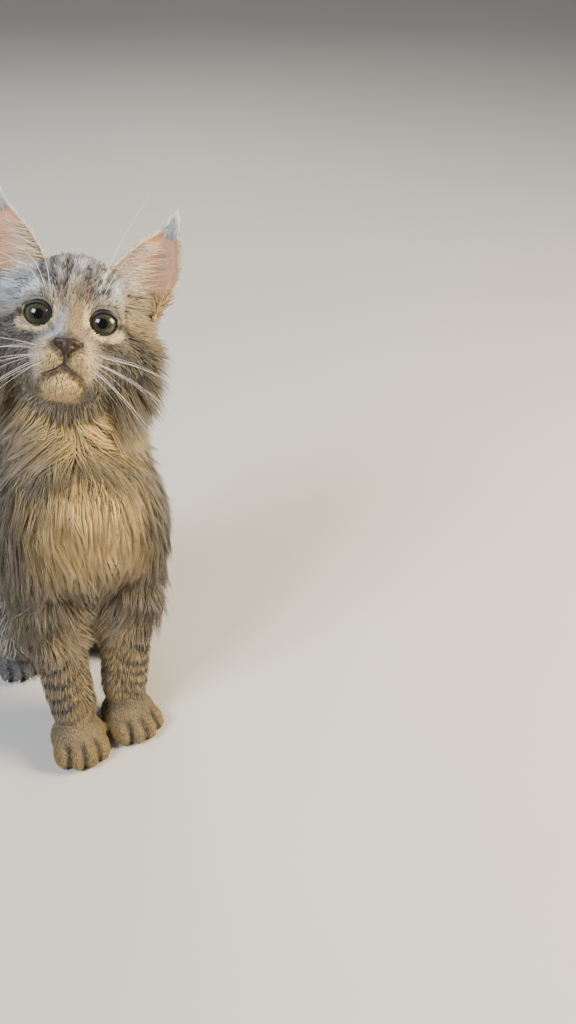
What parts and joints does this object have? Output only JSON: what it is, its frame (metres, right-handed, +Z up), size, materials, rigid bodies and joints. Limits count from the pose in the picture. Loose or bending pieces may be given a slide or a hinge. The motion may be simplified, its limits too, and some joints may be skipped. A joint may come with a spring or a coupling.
{
  "type": "maine coon kitten, sitting, museum model",
  "caption": "Life-size still model of a sitting long-haired tabby kitten that looks up, with tufted ears, ruff and a bushy tail curled on the floor.",
  "frame": {"origin": "bottom centre of the whole part's box, on the floor", "axes": "+Z up; the front of the body faces -Y, and the kitten's left side is +X"},
  "size_m": [0.2134, 0.2262, 0.3196],
  "materials": {
    "face_coat": "short tabby coat, grey with dark stripes and a paler muzzle",
    "chest_coat": "long soft coat in overlapping locks, warm fawn, greyer at the sides",
    "leg_coat": "short coat, buff with broken dark bars",
    "flank_coat": "long grey-brown coat in overlapping locks with dark streaks",
    "ear_skin": "thin peach-pink skin with pale furnishings",
    "nose_leather": "brick-brown, finely pebbled, slightly moist",
    "eye": "clear wet eye with an olive-green iris and a round dark pupil"
  },
  "bodies": {
    "root": {"head": "face_coat", "eye_right": "eye", "eye_left": "eye", "nose": "nose_leather", "ear_right": "ear_skin", "ear_left": "ear_skin", "neck": "chest_coat", "torso": "chest_coat", "foreleg_right": "leg_coat", "foreleg_left": "leg_coat", "hindleg_right": "flank_coat", "hindleg_left": "flank_coat", "tail_base": "flank_coat", "tail_middle": "flank_coat", "tail_end": "flank_coat"}
  },
  "joints": []
}
